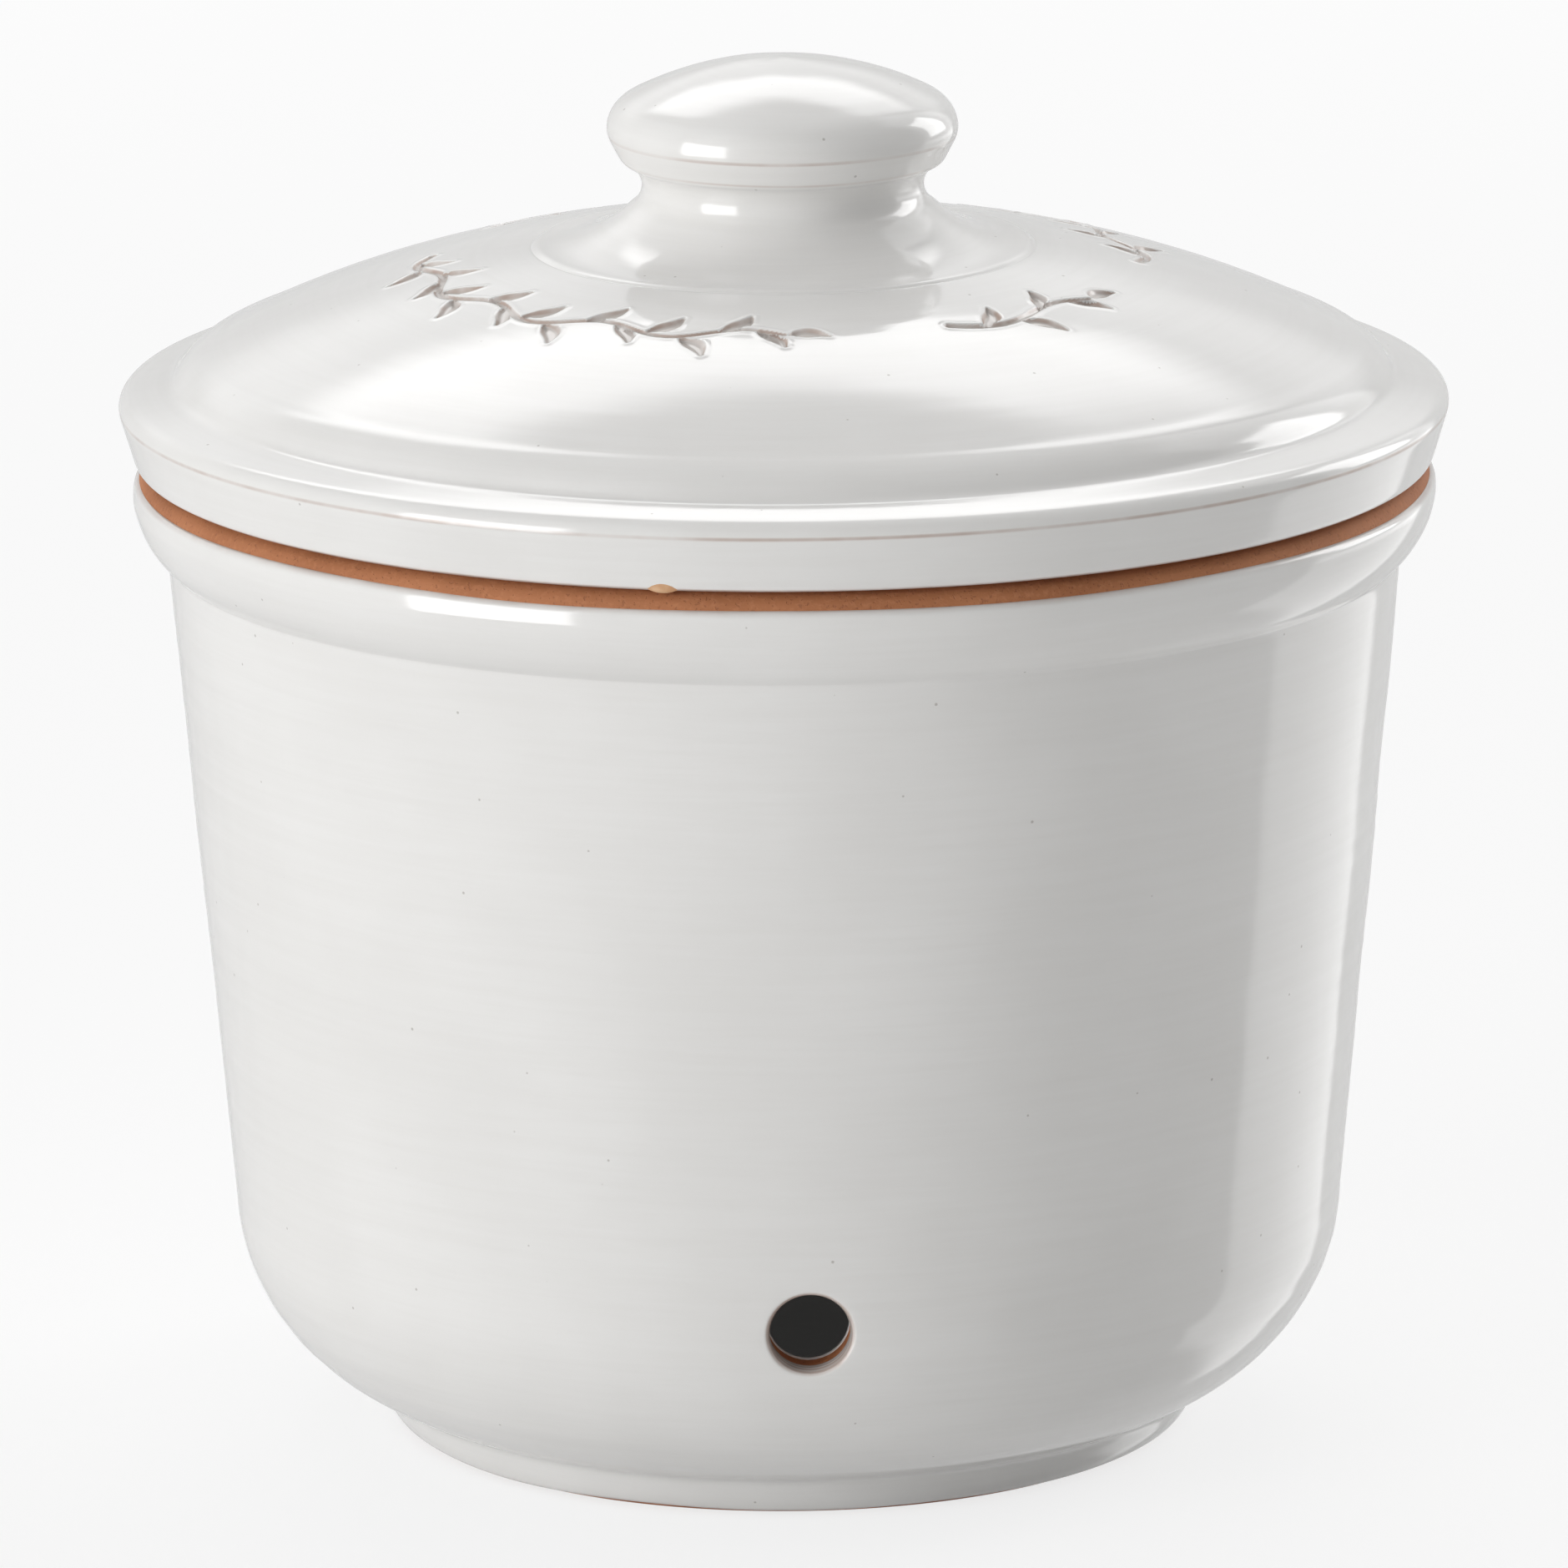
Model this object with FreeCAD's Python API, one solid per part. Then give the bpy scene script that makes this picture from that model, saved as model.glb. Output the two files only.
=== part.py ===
"""A white-glazed terracotta garlic keeper: a vented pot with a lift-off domed lid.

Millimetres. +Z is up, the origin is the centre of the foot ring on the table,
and the front vent hole faces -Y. The clay pieces are turned solids of revolution.
The knob is thrown apart and luted on the lid, and the glaze is a coat of even
thickness over the clay, left off wherever the two pieces touch each other or the kiln shelf.
"""

import FreeCAD
import Part

import math
import os

# Foot ring and underside of the pot
FOOT_RADIUS = 46.5
FOOT_HEIGHT = 4.9
FOOT_TAPER = 2.7
FOOT_SIDE_BULGE = 0.8
FOOT_RING_WIDTH = 7.5
BASE_RECESS = 2.0
BASE_RECESS_SLOPE = 1.5

# Wall and floor of the pot
WALL_RADIUS = 69.15
WALL_TAPER = 6.7
WALL_HEIGHT = 75.6
BOWL_HEIGHT = 20.3
WALL_THICKNESS = 6.0
FLOOR_THICKNESS = 6.5
FLOOR_CORNER_RADIUS = 14.5

# Flared collar and bare rim of the pot
COLLAR_PROJECTION = 3.85
COLLAR_FLARE_HEIGHT = 6.7
COLLAR_FLARE_SAG = 0.8
RIM_HEIGHT = 4.5
RIM_TAPER = 0.4
RIM_EDGE_RADIUS = 1.6
LIP_EDGE_RADIUS = 1.0

# Vent hole low in the front wall
VENT_RADIUS = 4.65
VENT_HEIGHT = 25.6

# Rim band, rolled edge and flat brim of the lid
LID_OVERHANG = 0.1
LID_BAND_HEIGHT = 5.8
LID_BAND_FLARE = 1.85
LID_EDGE_RADIUS = 0.4
ROLL_WIDTH = 1.3
ROLL_HEIGHT = 1.55
ROLL_SAG = 0.35
BRIM_WIDTH = 5.0
BRIM_RISE = 0.5

# Steep flank and dome, thickness and locating flange of the lid
FLANK_WIDTH = 4.25
FLANK_HEIGHT = 4.25
FLANK_SAG = 0.45
DOME_HEIGHT = 10.8
DOME_SAG = 1.48
DOME_THICKNESS = 5.5
INNER_DOME_HEIGHT = 7.1
INNER_DOME_SAG = 1.0
INNER_SHOULDER_WIDTH = 4.65
FLANGE_CLEARANCE = 1.8
FLANGE_WIDTH = 4.6
FLANGE_DEPTH = 7.0
FLANGE_EDGE_RADIUS = 1.2

# Knob luted on the lid, each height counted from the one before
KNOB_RADIUS = 19.4
KNOB_FOOT_RADIUS = 28.0
KNOB_FOOT_EDGE = 0.3
KNOB_FLARE_HEIGHT = 4.4
KNOB_FLARE_INSET = 2.4
KNOB_FLARE_SAG = 1.2
KNOB_NECK_HEIGHT = 2.4
KNOB_NECK_INSET = 3.9
KNOB_LEDGE_HEIGHT = 3.3
KNOB_LEDGE_INSET = 1.6
KNOB_ARRIS_HEIGHT = 2.5
KNOB_ARRIS_INSET = 0.25
KNOB_ROLL_HEIGHT = 0.8
KNOB_CAP_HEIGHT = 7.6
KNOB_SHOULDER_RADIUS = 3.8
KNOB_CAVITY_RADIUS = 7.0
KNOB_CROWN_THICKNESS = 8.3

# Glaze
GLAZE_THICKNESS = 0.5
BARE_RIM_HEIGHT = 2.7
BARE_LIP_HEIGHT = 1.4
BARE_FOOT_HEIGHT = 0.8
BARE_BAND_HEIGHT = 0.5

# Heights that several pieces share
FLOOR_TOP = BASE_RECESS + FLOOR_THICKNESS
WALL_LOW = FOOT_HEIGHT + BOWL_HEIGHT
COLLAR_LOW = WALL_LOW + WALL_HEIGHT
LID_SEAT = COLLAR_LOW + COLLAR_FLARE_HEIGHT + RIM_HEIGHT
ARRIS_LEVEL = LID_SEAT + LID_BAND_HEIGHT
KNOB_SEAT = ARRIS_LEVEL + ROLL_HEIGHT + BRIM_RISE + FLANK_HEIGHT + DOME_HEIGHT
KNOB_NECK_LEVEL = KNOB_SEAT + KNOB_FOOT_EDGE + KNOB_FLARE_HEIGHT + KNOB_NECK_HEIGHT
KNOB_WIDEST = KNOB_NECK_LEVEL + KNOB_LEDGE_HEIGHT + KNOB_ARRIS_HEIGHT + KNOB_ROLL_HEIGHT
KNOB_TOP = KNOB_WIDEST + KNOB_CAP_HEIGHT

# Radii that several pieces share
WALL_SLOPE = WALL_TAPER / WALL_HEIGHT
COLLAR_RADIUS = WALL_RADIUS + COLLAR_PROJECTION
RIM_RADIUS = COLLAR_RADIUS - RIM_TAPER
MOUTH_RADIUS = WALL_RADIUS + (LID_SEAT - LIP_EDGE_RADIUS - COLLAR_LOW) * WALL_SLOPE - WALL_THICKNESS
FLANGE_RADIUS = MOUTH_RADIUS - FLANGE_CLEARANCE
LID_BAND_RADIUS = RIM_RADIUS + LID_OVERHANG
LID_RADIUS = LID_BAND_RADIUS + LID_BAND_FLARE
FAR = 2 * (LID_RADIUS + KNOB_TOP)

AXIS = FreeCAD.Vector(0, 0, 1)
CENTRE = FreeCAD.Vector(0, 0, 0)


def at(radius, height):
    """The point of a turning section at this radius and height."""
    return FreeCAD.Vector(radius, 0, height)


def bowed(start, end, sag):
    """The middle of an arc from start to end that stands sag to the left of its chord."""
    middle = (start + end) * 0.5
    chord = (end - start).normalize()
    return middle + FreeCAD.Vector(-chord.z, 0, chord.x) * sag


def on_circle(centre, radius, degrees):
    """The point of a circle in the section plane, with the angle counted from the radial direction."""
    angle = math.radians(degrees)
    return centre + at(radius * math.cos(angle), radius * math.sin(angle))


def section(start, *moves):
    """A flat face bounded by a closed outline. A move is (end,) for a line and (middle, end) for an arc."""
    edges = []
    here = start
    for move in moves + ((start,),):
        end = move[-1]
        if (end - here).Length > 1e-6:
            if len(move) == 2:
                edges.append(Part.Arc(here, move[0], end).toShape())
            else:
                edges.append(Part.LineSegment(here, end).toShape())
        here = end
    return Part.Face(Part.Wire(edges))


def zone(low_radius, low_height, high_radius, high_height):
    """A rectangle of the section plane, used to leave glaze off."""
    return section(
        at(low_radius, low_height),
        (at(high_radius, low_height),),
        (at(high_radius, high_height),),
        (at(low_radius, high_height),),
    )


def turned(face):
    """The solid that a section face sweeps in a full turn about the axis."""
    return face.revolve(CENTRE, AXIS, 360).Solids[0]


def bowl_arc():
    """Start, middle and end of the arc that rounds the wall into the foot's crease."""
    crease = at(FOOT_RADIUS, FOOT_HEIGHT)
    top = at(WALL_RADIUS - WALL_TAPER, WALL_LOW)
    inward = FreeCAD.Vector(-1, 0, WALL_SLOPE).normalize()
    reach = top - crease
    radius = -reach.dot(reach) / (2 * reach.dot(inward))
    centre = top + inward * radius
    middle = centre + ((crease - centre).normalize() + (top - centre).normalize()).normalize() * radius
    return crease, middle, top


def floor_arc():
    """Start, middle and end of the arc that rounds the inner wall into the floor."""
    slope_degrees = math.degrees(math.atan(WALL_SLOPE))
    level = FLOOR_TOP + FLOOR_CORNER_RADIUS
    inner_wall = MOUTH_RADIUS - (LID_SEAT - LIP_EDGE_RADIUS - level) * WALL_SLOPE
    centre = at(inner_wall - FLOOR_CORNER_RADIUS * math.hypot(1, WALL_SLOPE), level)
    return [on_circle(centre, FLOOR_CORNER_RADIUS, degrees)
            for degrees in (-slope_degrees, -(90 + slope_degrees) / 2, -90)]


def pot_section():
    """The clay of the pot, from the underside's centre round the outside and back down the inside."""
    foot_inner = at(FOOT_RADIUS - FOOT_TAPER - FOOT_RING_WIDTH, 0)
    foot_outer = at(FOOT_RADIUS - FOOT_TAPER, 0)
    crease, bowl_middle, wall_low = bowl_arc()
    collar_low = at(WALL_RADIUS, COLLAR_LOW)
    collar_high = at(COLLAR_RADIUS, COLLAR_LOW + COLLAR_FLARE_HEIGHT)
    rim_centre = at(RIM_RADIUS - RIM_EDGE_RADIUS, LID_SEAT - RIM_EDGE_RADIUS)
    lip_centre = at(MOUTH_RADIUS + LIP_EDGE_RADIUS, LID_SEAT - LIP_EDGE_RADIUS)
    corner_top, corner_middle, corner_low = floor_arc()
    return section(
        at(0, BASE_RECESS),
        (foot_inner + at(-BASE_RECESS_SLOPE, BASE_RECESS),),
        (foot_inner,),
        (foot_outer,),
        (bowed(foot_outer, crease, -FOOT_SIDE_BULGE), crease),
        (bowl_middle, wall_low),
        (collar_low,),
        (bowed(collar_low, collar_high, -COLLAR_FLARE_SAG), collar_high),
        (on_circle(rim_centre, RIM_EDGE_RADIUS, 0),),
        (on_circle(rim_centre, RIM_EDGE_RADIUS, 45), on_circle(rim_centre, RIM_EDGE_RADIUS, 90)),
        (on_circle(lip_centre, LIP_EDGE_RADIUS, 90),),
        (on_circle(lip_centre, LIP_EDGE_RADIUS, 135), on_circle(lip_centre, LIP_EDGE_RADIUS, 180)),
        (corner_top,),
        (corner_middle, corner_low),
        (at(0, FLOOR_TOP),),
    )


def lid_section():
    """The clay of the lid without its knob, from the seat round the band, brim and dome."""
    arris = at(LID_RADIUS, ARRIS_LEVEL)
    roll_top = arris + at(-ROLL_WIDTH, ROLL_HEIGHT)
    brim_inner = roll_top + at(-BRIM_WIDTH, BRIM_RISE)
    flank_top = brim_inner + at(-FLANK_WIDTH, FLANK_HEIGHT)
    dome_top = at(KNOB_FOOT_RADIUS, KNOB_SEAT)
    inner_top = at(KNOB_FOOT_RADIUS, KNOB_SEAT - DOME_THICKNESS)
    flange_inner = FLANGE_RADIUS - FLANGE_WIDTH
    inner_shoulder = at(flange_inner - INNER_SHOULDER_WIDTH, inner_top.z - INNER_DOME_HEIGHT)
    edge = FLANGE_EDGE_RADIUS
    inner_edge = at(flange_inner + edge, LID_SEAT - FLANGE_DEPTH + edge)
    outer_edge = at(FLANGE_RADIUS - edge, LID_SEAT - FLANGE_DEPTH + edge)
    return section(
        at(FLANGE_RADIUS, LID_SEAT),
        (at(LID_BAND_RADIUS - LID_EDGE_RADIUS, LID_SEAT),),
        (at(LID_BAND_RADIUS, LID_SEAT + LID_EDGE_RADIUS),),
        (arris,),
        (bowed(arris, roll_top, -ROLL_SAG), roll_top),
        (brim_inner,),
        (bowed(brim_inner, flank_top, -FLANK_SAG), flank_top),
        (bowed(flank_top, dome_top, -DOME_SAG), dome_top),
        (at(KNOB_CAVITY_RADIUS, KNOB_SEAT),),
        (at(KNOB_CAVITY_RADIUS, inner_top.z),),
        (inner_top,),
        (bowed(inner_top, inner_shoulder, INNER_DOME_SAG), inner_shoulder),
        (at(flange_inner, LID_SEAT),),
        (on_circle(inner_edge, edge, 180),),
        (on_circle(inner_edge, edge, -135), on_circle(inner_edge, edge, -90)),
        (on_circle(outer_edge, edge, -90),),
        (on_circle(outer_edge, edge, -45), on_circle(outer_edge, edge, 0)),
    )


def crown_arcs():
    """Middle and end of the arc over the knob's shoulder, then of the arc over its crown."""
    reach = KNOB_RADIUS - KNOB_SHOULDER_RADIUS
    rise = KNOB_CAP_HEIGHT
    crown_radius = (reach**2 + rise**2 - KNOB_SHOULDER_RADIUS**2) / (2 * (rise - KNOB_SHOULDER_RADIUS))
    crown_centre = at(0, KNOB_TOP - crown_radius)
    shoulder_centre = at(reach, KNOB_WIDEST)
    meet_degrees = math.degrees(math.atan2(KNOB_WIDEST - crown_centre.z, reach))
    return (
        (on_circle(shoulder_centre, KNOB_SHOULDER_RADIUS, meet_degrees / 2),
         on_circle(shoulder_centre, KNOB_SHOULDER_RADIUS, meet_degrees)),
        (on_circle(crown_centre, crown_radius, (90 + meet_degrees) / 2), at(0, KNOB_TOP)),
    )


def knob_section():
    """The clay of the hollow knob, from its flat foot up the neck and over the cap."""
    foot_edge = at(KNOB_FOOT_RADIUS, KNOB_SEAT + KNOB_FOOT_EDGE)
    flare = at(KNOB_RADIUS - KNOB_FLARE_INSET, foot_edge.z + KNOB_FLARE_HEIGHT)
    neck = at(KNOB_RADIUS - KNOB_NECK_INSET, KNOB_NECK_LEVEL)
    ledge = at(KNOB_RADIUS - KNOB_LEDGE_INSET, neck.z + KNOB_LEDGE_HEIGHT)
    arris = at(KNOB_RADIUS - KNOB_ARRIS_INSET, ledge.z + KNOB_ARRIS_HEIGHT)
    shoulder, crown = crown_arcs()
    cavity_centre = at(0, KNOB_TOP - KNOB_CROWN_THICKNESS - KNOB_CAVITY_RADIUS)
    return section(
        at(KNOB_CAVITY_RADIUS, KNOB_SEAT),
        (at(KNOB_FOOT_RADIUS, KNOB_SEAT),),
        (foot_edge,),
        (bowed(foot_edge, flare, KNOB_FLARE_SAG), flare),
        (neck, ledge),
        (arris,),
        (at(KNOB_RADIUS, KNOB_WIDEST),),
        shoulder,
        crown,
        (on_circle(cavity_centre, KNOB_CAVITY_RADIUS, 90),),
        (on_circle(cavity_centre, KNOB_CAVITY_RADIUS, 45), on_circle(cavity_centre, KNOB_CAVITY_RADIUS, 0)),
    )


def vent():
    """The cylinder that pierces the wall at the front."""
    return Part.makeCylinder(VENT_RADIUS, COLLAR_RADIUS * 2, at(0, VENT_HEIGHT), FreeCAD.Vector(0, -1, 0))


def coats(clay, bare_zones):
    """The section faces of the inner and the outer coat, as the bare zones leave them."""
    ring = clay.makeOffset2D(GLAZE_THICKNESS).cut(clay).common(zone(0, -FAR, FAR, FAR))
    for bare in bare_zones:
        ring = ring.cut(bare)
    pair = sorted(ring.Faces, key=lambda face: face.Area)[-2:]
    return sorted(pair, key=lambda face: face.BoundBox.XMax)


def pot_coats(pot):
    """Glaze inside and outside the pot. The rim, the foot ring and the underside stay bare."""
    foot_inside = FOOT_RADIUS - FOOT_TAPER - BARE_FOOT_HEIGHT
    return coats(pot, [
        zone(MOUTH_RADIUS + LIP_EDGE_RADIUS, LID_SEAT - BARE_RIM_HEIGHT, FAR, FAR),
        zone(0, LID_SEAT - BARE_LIP_HEIGHT, FAR, FAR),
        zone(0, -FAR, FAR, BARE_FOOT_HEIGHT),
        zone(0, -FAR, foot_inside, BASE_RECESS),
    ])


def lid_coats(lid, knob):
    """Glaze inside and outside the lid. The seat, the flange's outer side and the knob's cavity stay bare."""
    cavity_side = KNOB_CAVITY_RADIUS + GLAZE_THICKNESS
    return coats(lid.fuse(knob).removeSplitter().Faces[0], [
        zone(FLANGE_RADIUS - FLANGE_EDGE_RADIUS, -FAR, FAR, LID_SEAT + BARE_BAND_HEIGHT),
        zone(0, -FAR, cavity_side, KNOB_WIDEST),
    ])


def write(name, shape):
    """Store one node and print its size."""
    shape.exportStep(os.path.join("parts", name + ".step"))
    box = shape.optimalBoundingBox(True, False)
    print(name, len(shape.Solids), "solid,", round(shape.Volume), "mm3, radius", round(box.XMax, 2),
          "from", round(box.ZMin, 2), "to", round(box.ZMax, 2))


def main():
    os.makedirs("parts", exist_ok=True)
    pot = pot_section()
    lid = lid_section()
    knob = knob_section()
    pot_inner, pot_outer = pot_coats(pot)
    lid_inner, lid_outer = lid_coats(lid, knob)
    write("pot_body", turned(pot).cut(vent()))
    write("pot_outer_glaze", turned(pot_outer).cut(vent()))
    write("pot_inner_glaze", turned(pot_inner).cut(vent()))
    write("lid_body", turned(lid))
    write("lid_knob", turned(knob))
    write("lid_outer_glaze", turned(lid_outer))
    write("lid_inner_glaze", turned(lid_inner))


main()
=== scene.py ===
"""Looks of the garlic keeper: a white-glazed terracotta pot and its lift-off lid.

Sizes are written in millimetres, as a potter would give them, and meshes are stored in metres.
Angles round the pot are counted from the vent at the front, counter-clockwise seen from above.
"""

import math

import bpy
import numpy as np
from mathutils import Matrix, Vector
from mathutils.kdtree import KDTree


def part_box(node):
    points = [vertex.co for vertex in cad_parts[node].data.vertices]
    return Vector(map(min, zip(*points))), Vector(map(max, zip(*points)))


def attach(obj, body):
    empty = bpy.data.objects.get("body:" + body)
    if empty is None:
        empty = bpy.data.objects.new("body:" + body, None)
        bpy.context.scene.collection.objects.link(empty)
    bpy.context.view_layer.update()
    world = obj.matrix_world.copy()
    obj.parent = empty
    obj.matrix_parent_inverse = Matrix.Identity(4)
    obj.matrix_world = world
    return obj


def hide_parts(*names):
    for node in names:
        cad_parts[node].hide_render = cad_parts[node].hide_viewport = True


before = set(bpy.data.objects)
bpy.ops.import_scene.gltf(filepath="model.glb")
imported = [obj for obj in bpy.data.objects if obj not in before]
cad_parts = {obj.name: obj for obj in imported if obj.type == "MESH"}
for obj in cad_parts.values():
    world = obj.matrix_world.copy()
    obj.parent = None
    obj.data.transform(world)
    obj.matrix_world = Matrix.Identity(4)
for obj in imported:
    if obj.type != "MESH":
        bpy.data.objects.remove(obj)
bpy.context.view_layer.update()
scene = bpy.context.scene
scene.view_settings.view_transform = "Standard"
MM = 0.001

# Camera
# It stands a good step away, looks down a little and is turned slightly off the vent,
# so that the vent shows just right of the middle of the picture.
CAMERA_DISTANCE = 1400.0
CAMERA_HEIGHT = 410.4
CAMERA_SIDE = -0.25
CAMERA_PITCH = 13.554
CAMERA_ROLL = -0.3385
CAMERA_TURN = -2.1
CAMERA_LENS = 291.22

camera = bpy.data.objects.new("camera", bpy.data.cameras.new("camera"))
camera.data.lens = CAMERA_LENS
camera.data.sensor_width = 36.0
camera.data.clip_start = 0.05
camera.matrix_world = (
    Matrix.Rotation(math.radians(CAMERA_TURN), 4, "Z")
    @ Matrix.Translation(Vector((CAMERA_SIDE, -CAMERA_DISTANCE, CAMERA_HEIGHT)) * MM)
    @ Matrix.Rotation(math.radians(90 - CAMERA_PITCH), 4, "X")
    @ Matrix.Rotation(math.radians(CAMERA_ROLL), 4, "Z")
)
scene.collection.objects.link(camera)
scene.camera = camera

# Pot clay
# Red earthenware thrown on a wheel: a foot ring, a round-bottomed wall and a flared collar.
# It shows bare on the rim, on the foot ring and in the punched vent hole; the rest is glazed.
pot_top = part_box("pot_body")[1] / MM
RIM_HEIGHT = pot_top.z
COLLAR_RADIUS = pot_top.x
COLLAR_HIGH = RIM_HEIGHT - 4.5
COLLAR_LOW = COLLAR_HIGH - 6.7
COLLAR_PROJECTION = 3.85
WALL_RADIUS = COLLAR_RADIUS - COLLAR_PROJECTION
WALL_LOW_HEIGHT = 25.2
WALL_LOW_RADIUS = WALL_RADIUS - 6.7
WALL_SLOPE = (WALL_RADIUS - WALL_LOW_RADIUS) / (COLLAR_LOW - WALL_LOW_HEIGHT)
WALL_THICKNESS = 6.0
FOOT_RADIUS = 46.5
FOOT_HEIGHT = 4.9
FOOT_TAPER = 2.7
FOOT_SAG = 0.8
FOOT_RING_WIDTH = 7.5
BASE_RECESS = 2.0
RECESS_BEVEL = 1.5
BOWL_SAG = 3.9
COLLAR_SAG = 0.8
COLLAR_DRAW_IN = 0.15
FLOOR_TOP = 8.5
FLOOR_CORNER_RADIUS = 14.5
BARE_RIM = 2.5
RIM_RADIUS = COLLAR_RADIUS - 2.3
RIM_SAG = 0.4
RIM_EDGE_RADIUS = 0.5
LIP_EDGE_RADIUS = 1.0
VENT_RADIUS = 4.65
VENT_HEIGHT = 25.9
VENT_EDGE_OUTSIDE = 0.5
VENT_EDGE_INSIDE = 0.4
QUARTER_SAG = 1 - math.sqrt(0.5)
FINE_STEP = 0.05
CLAY_INSET = 0.04
CLAY_DEEP = (0.4, 0.15, 0.06, 1)
CLAY_WARM = (0.47, 0.185, 0.078, 1)
CLAY_GRAIN = (0.55, 0.24, 0.115, 1)
CLAY_PIT = (0.27, 0.1, 0.05, 1)


class Outline:
    """Half of a turned section, walked as (radius, height) with the clay on its left."""

    def __init__(self, radius, height):
        self.points = [(radius, height)]

    def arc(self, radius, height, sag):
        """An arc to this point that stands sag to the left of its chord."""
        start = np.array(self.points[-1])
        half = (np.array((radius, height)) - start) / 2
        left = np.array((-half[1], half[0]))
        bend = 2 * math.atan(sag / math.hypot(*half)) + 1e-9
        steps = max(2, math.ceil(2 * math.hypot(*half) / FINE_STEP))
        for share in np.linspace(-1, 1, steps + 1)[1:]:
            along = 1 + math.sin(bend * share) / math.sin(bend)
            aside = (math.cos(bend * share) - math.cos(bend)) / math.sin(bend)
            self.points.append(tuple(start + half * along + left * aside))
        return self

    def line(self, radius, height):
        return self.arc(radius, height, 0.0)

    def softened(self, blur):
        """The walk as an array, with its corners rounded over this many millimetres."""
        line = np.array(self.points)
        reach = int(3 * blur / FINE_STEP)
        weights = np.exp(-0.5 * (np.arange(-reach, reach + 1) * FINE_STEP / blur) ** 2)
        before = 2 * line[0] - line[reach:0:-1]
        after = 2 * line[-1] - line[-2:-reach - 2:-1]
        padded = np.vstack((before, line, after))
        smooth = [np.convolve(column, weights / weights.sum(), "valid") for column in padded.T]
        return np.array(smooth).T


def outward(line):
    """Unit normals on the right of a line of points."""
    ahead = np.gradient(line, axis=0)
    normals = np.stack((ahead[:, 1], -ahead[:, 0]), axis=1)
    return normals / np.maximum(np.hypot(*normals.T), 1e-9)[:, None]


def way_along(line):
    """How far each point lies along its line."""
    return np.concatenate(([0], np.cumsum(np.hypot(*np.diff(line, axis=0).T))))


def stops_along(line, spacing, turn=9.0):
    """Places on a fine line, as fractions of its index.

    They lie at most this spacing and this turn in degrees apart.
    """
    steps = np.diff(line, axis=0)
    length = np.hypot(*steps.T)
    bend = np.abs(np.gradient(np.unwrap(np.arctan2(steps[:, 1], steps[:, 0]))))
    wanted = length / np.broadcast_to(spacing, len(line))[1:] + bend / math.radians(turn)
    reach = np.concatenate(([0], np.cumsum(wanted)))
    even = np.linspace(0, reach[-1], math.ceil(reach[-1]) + 1)
    return np.interp(even, reach, np.arange(len(line)))


def picked(line, stops):
    """The points of a fine line at these fractional indices."""
    index = np.arange(len(line))
    return np.stack([np.interp(stops, index, column) for column in line.T], axis=1)


def on_circle(radius, angle, height):
    """Points in space from the radius, the angle from the front and the height."""
    return np.stack((radius * np.sin(angle), -radius * np.cos(angle), height), axis=1)


def smooth_piece(name, places, bands, material):
    """A smooth-shaded object from points in millimetres and arrays of faces."""
    data = bpy.data.meshes.new(name)
    data.from_pydata((places * MM).tolist(), [], [face for band in bands for face in band.tolist()])
    data.polygons.foreach_set("use_smooth", np.ones(len(data.polygons), dtype=bool))
    data.materials.append(material)
    made = bpy.data.objects.new(name, data)
    scene.collection.objects.link(made)
    return made


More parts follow.
